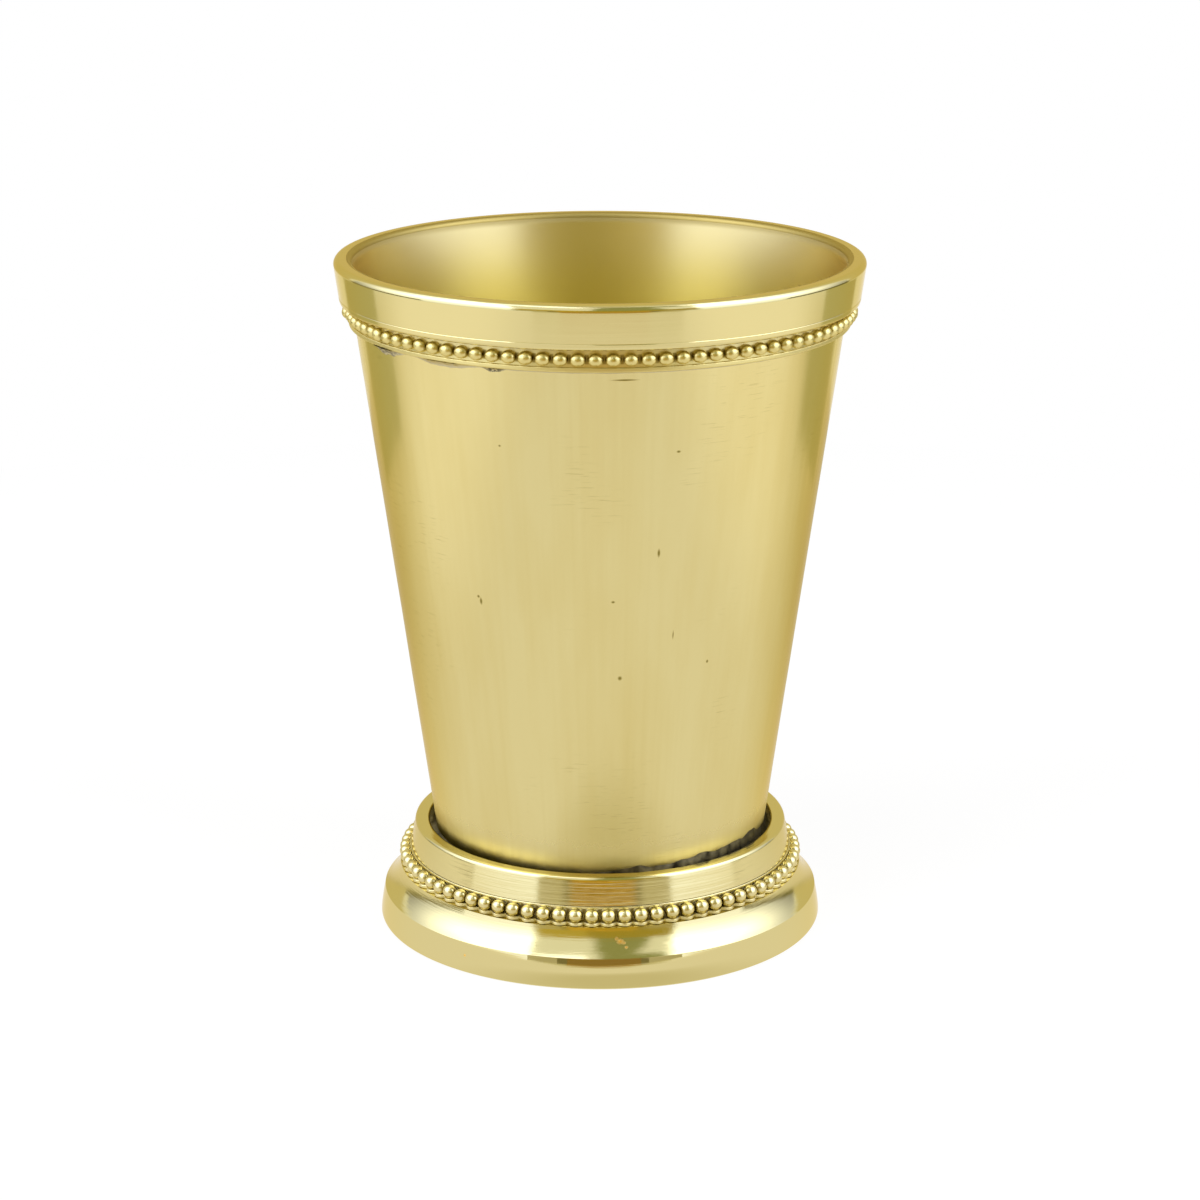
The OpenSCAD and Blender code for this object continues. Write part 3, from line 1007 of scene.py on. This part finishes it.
def whiteToCamera(tree):
    # 1 for what the camera sees directly, in a mirror or through glass
    path = addNode(tree, "LightPath")
    seen = addNode(tree, "Math", {"operation": "ADD", "use_clamp": True},
                   {0: path.outputs["Is Camera Ray"], 1: path.outputs["Is Glossy Ray"]})
    return addNode(tree, "Math", {"operation": "ADD", "use_clamp": True},
                   {0: seen, 1: path.outputs["Is Transmission Ray"]})


def buildWorld():
    world = bpy.data.worlds.new("studio")
    bpy.context.scene.world = world
    world.use_nodes = True
    tree = world.node_tree
    tree.nodes.clear()
    white = whiteToCamera(tree)
    plain = addNode(tree, "Background", {"Color": (1, 1, 1, 1), "Strength": studio["world"]})
    bright = addNode(tree, "Background", {"Color": (1, 1, 1, 1), "Strength": 1.0})
    mixed = addNode(tree, "MixShader", links={0: white, 1: plain, 2: bright})
    addNode(tree, "OutputWorld", links={"Surface": mixed})


def buildStage():
    material, tree = newMaterial("paperFloor")
    white = whiteToCamera(tree)
    lit = addNode(tree, "BsdfDiffuse", {"Color": (studio["floor"],) * 3 + (1,)})
    glow = addNode(tree, "Emission", {"Color": (1, 1, 1, 1), "Strength": studio["backgroundGlow"]})
    share = addNode(tree, "Math", {"operation": "MULTIPLY", 1: studio["backgroundShare"]}, {0: white})
    mixed = addNode(tree, "MixShader", links={0: share, 1: lit, 2: glow})
    addNode(tree, "OutputMaterial", links={"Surface": mixed})
    bm = bmesh.new()
    bmesh.ops.create_circle(bm, cap_ends=True, segments=96, radius=studio["floorRadius"] * mm)
    mesh = bpy.data.meshes.new("floor")
    bm.to_mesh(mesh)
    bm.free()
    mesh.materials.append(material)
    floor = bpy.data.objects.new("floor", mesh)
    bpy.context.scene.collection.objects.link(floor)


# Cards that only reflections see. Azimuth is from the camera's side, positive to its right

cards = {
    "brownCard": {"azimuth": (-16, 20), "elevation": (-3, 4), "distance": 560, "colour": "#9E8148"},
    "goldCard": {"azimuth": (-17, 20), "elevation": (4, 9), "distance": 560, "colour": "#ECB834"},
    "darkCard": {"azimuth": (-21, 24), "elevation": (-3, 9), "distance": 600, "colour": "#8B825D"},
    "greyCard": {"azimuth": (-36, 41), "elevation": (-3, 9), "distance": 620, "colour": "#C8C0A4"},
    "leftLowCard": {"azimuth": (-79, -130), "elevation": (-5, 5), "distance": 740, "colour": "#98916C"},
    "rightLowCard": {"azimuth": (84, 130), "elevation": (-5, 5), "distance": 740, "colour": "#7A7448"},
    "lowCard": {"azimuth": (-7, 40), "elevation": (8, 27), "distance": 610, "colour": "#B4A040"},
    "paleCard": {"azimuth": (-34, -7), "elevation": (9, 27), "distance": 610, "colour": "#CCB650"},
    "gapCard": {"azimuth": (-3, 28), "elevation": (26, 62), "distance": 620, "colour": "#A1A473"},
    "gapTopCard": {"azimuth": (0, 60), "elevation": (62, 80), "distance": 640, "colour": "#A1A473"},
    "rearCard": {"azimuth": (130, 230), "elevation": (-1, 80), "distance": 700, "colour": "#E2D8AE"},
    "ceilingCard": {"azimuth": (-180, 180), "elevation": (83, 90), "distance": 700, "colour": "#C6BD9C"},
    "leftBox": {"azimuth": (-36, -126), "elevation": (-3, 66), "distance": 760, "colour": "#E6EAFF",
                "glow": (1.75, 3.6), "rise": (10, 36),
                "inner": ((-3, 36), (32, 37), (46, 43), (55, 49), (66, 64))},
    "rightBox": {"azimuth": (42, 128), "elevation": (-3, 72), "distance": 760, "colour": "#E6EAFF",
                 "glow": (1.75, 3.6), "rise": (10, 36),
                 "inner": ((-3, 41), (32, 41), (46, 45), (55, 51), (66, 66))},
    "topBox": {"azimuth": (-100, -14), "elevation": (65, 83), "distance": 760, "colour": "#E6EAFF",
               "glow": (2.5, 2.5), "rise": (10, 36)},
}

floorCards = {
    "paperSeen": {"azimuth": (-180, 180), "reach": (0.001, 330), "height": 0.3, "colour": "#FBF5EE",
                  "rearColour": "#DAD1B8", "fade": (-20, 140), "sides": (100, 210), "gain": (1.02, 1.2),
                  "shade": {"centre": (4, -47), "radius": (38, 8), "colour": "#E3DBC4"}},
    "leftDark": {"azimuth": (-142, -110), "reach": (236, 520), "height": 0.6, "colour": "#CAC59A"},
    "rightDark": {"azimuth": (110, 142), "reach": (236, 520), "height": 0.6, "colour": "#CAC59A"},
    "frontDark": {"azimuth": (-27, 34), "reach": (262, 520), "height": 0.6, "colour": "#DAD1AB"},
    "frontBrown": {"azimuth": (-16, 20), "reach": (262, 520), "height": 0.9, "colour": "#C8A85D"},
}


def shadePaper(tree, glow, card):
    # Paper is duller behind the cup and close before it, and brighter at the sides
    place = addNode(tree, "TexCoord")
    parts = addNode(tree, "SeparateXYZ", links={0: place.outputs["Object"]})
    back = addNode(tree, "MapRange", fromTo([y * mm for y in card["fade"]], smooth=True),
                   {"Value": parts.outputs["Y"]})
    rear = addNode(tree, "Mix", {
        "data_type": "RGBA", 6: linear(card["colour"]), 7: linear(card["rearColour"])}, {"Factor": back})
    near = card["shade"]
    apart = addNode(tree, "VectorMath", {
        "operation": "DISTANCE", 1: (near["centre"][0] * mm, near["centre"][1] * mm, card["height"] * mm)},
        {0: place.outputs["Object"]})
    close = addNode(tree, "MapRange", fromTo([r * mm for r in near["radius"]], smooth=True),
                    {"Value": apart.outputs["Value"]})
    shade = addNode(tree, "Mix", {"data_type": "RGBA", 7: linear(near["colour"])},
                    {"Factor": close, 6: rear.outputs[2]})
    aside = addNode(tree, "Math", {"operation": "ABSOLUTE"}, {0: parts.outputs["X"]})
    gain = addNode(tree, "MapRange", fromTo([x * mm for x in card["sides"]], card["gain"], smooth=True),
                   {"Value": aside})
    tree.links.new(shade.outputs[2], glow.inputs["Color"])
    tree.links.new(gain.outputs[0], glow.inputs["Strength"])


def lightBox(tree, glow, card):
    # A light box is brighter higher up, and dimmer where it reaches behind the cup
    place = addNode(tree, "TexCoord")
    way = addNode(tree, "VectorMath", {"operation": "NORMALIZE"}, {0: place.outputs["Object"]})
    parts = addNode(tree, "SeparateXYZ", links={0: way})
    rise = [math.sin(math.radians(e)) for e in card["rise"]]
    gain = addNode(tree, "MapRange", fromTo(rise, card["glow"]), {"Value": parts.outputs["Z"]})
    aside = addNode(tree, "Math", {"operation": "ABSOLUTE"}, {0: parts.outputs["X"]})
    ahead = addNode(tree, "Math", {"operation": "MULTIPLY", 1: -1.0}, {0: parts.outputs["Y"]})
    turn = addNode(tree, "Math", {"operation": "ARCTAN2"}, {0: aside, 1: ahead})
    fade = [math.radians(a) for a in studio["boxFade"]]
    fading = addNode(tree, "MapRange", fromTo(fade, (1.0, studio["boxFadeTo"]), smooth=True), {"Value": turn})
    shining = addNode(tree, "Math", {"operation": "MULTIPLY"}, {0: gain, 1: fading})
    tree.links.new(shining.outputs[0], glow.inputs["Strength"])


def reflectedOnly(name, vertices, rows, columns, card):
    material, tree = newMaterial(name)
    glow = addNode(tree, "Emission", {"Color": linear(card["colour"]), "Strength": 1.0})
    if "rearColour" in card:
        shadePaper(tree, glow, card)
    if "glow" in card:
        lightBox(tree, glow, card)
    addNode(tree, "OutputMaterial", links={"Surface": glow})
    mesh = bpy.data.meshes.new(name)
    width = columns + 1
    corners = [j * width + i for j in range(rows) for i in range(columns)]
    mesh.from_pydata(vertices, [], [(a, a + 1, a + width + 1, a + width) for a in corners])
    mesh.materials.append(material)
    piece = bpy.data.objects.new(name, mesh)
    bpy.context.scene.collection.objects.link(piece)
    piece.visible_camera = piece.visible_diffuse = piece.visible_shadow = piece.visible_transmission = False


def partWay(limits, k, count):
    return limits[0] + (limits[1] - limits[0]) * k / count


def addCard(name, card):
    rows, columns = 12, 24
    vertices = []
    for j in range(rows + 1):
        elevation = partWay(card["elevation"], j, rows)
        first, last = card["azimuth"]
        if "inner" in card:  # the edge nearer the camera leans outwards as it rises
            first = math.copysign(along(card["inner"], elevation), first)
        for i in range(columns + 1):
            vertices.append(towards(partWay((first, last), i, columns), elevation) * card["distance"] * mm)
    reflectedOnly(name, vertices, rows, columns, card)


def addFloorCard(name, card):
    rows, columns = 1, 40
    vertices = []
    for j in range(rows + 1):
        reach = partWay(card["reach"], j, rows)
        for i in range(columns + 1):
            spot = towards(partWay(card["azimuth"], i, columns), 0) * reach + Vector((0, 0, card["height"]))
            vertices.append(spot * mm)
    reflectedOnly(name, vertices, rows, columns, card)


lamps = {
    "leftLamp": {"azimuth": -54, "elevation": 28, "distance": 900, "size": (560, 1000), "power": 6.3},
    "rightLamp": {"azimuth": 57, "elevation": 28, "distance": 900, "size": (580, 1000), "power": 6.5},
    "topLamp": {"azimuth": -30, "elevation": 71, "distance": 900, "size": (420, 300), "power": 1.4},
}


def addLamp(name, lamp):
    data = bpy.data.lights.new(name, "AREA")
    data.shape = "RECTANGLE"
    data.size, data.size_y = (s * mm for s in lamp["size"])
    data.energy = lamp["power"]
    piece = bpy.data.objects.new(name, data)
    way = towards(lamp["azimuth"], lamp["elevation"])
    piece.location = way * lamp["distance"] * mm
    piece.rotation_euler = way.to_track_quat("Z", "Y").to_euler()
    piece.visible_camera = piece.visible_glossy = False  # the box cards are what the metal reflects
    bpy.context.scene.collection.objects.link(piece)


def buildCamera():
    data = bpy.data.cameras.new("camera")
    data.lens = camera["lens"]
    data.sensor_width = 36
    data.clip_start, data.clip_end = 0.01, 20
    piece = bpy.data.objects.new("camera", data)
    away = towards(0, camera["elevation"])
    piece.location = Vector((0, 0, camera["aimHeight"] * mm)) + away * camera["distance"] * mm
    piece.rotation_euler = away.to_track_quat("Z", "Y").to_euler()
    bpy.context.scene.collection.objects.link(piece)
    bpy.context.scene.camera = piece


buildWorld()
buildStage()
for name, card in cards.items():
    addCard(name, card)
for name, card in floorCards.items():
    addFloorCard(name, card)
for name, lamp in lamps.items():
    addLamp(name, lamp)
buildCamera()
bpy.context.scene.view_settings.view_transform = "Standard"
print("studio built")
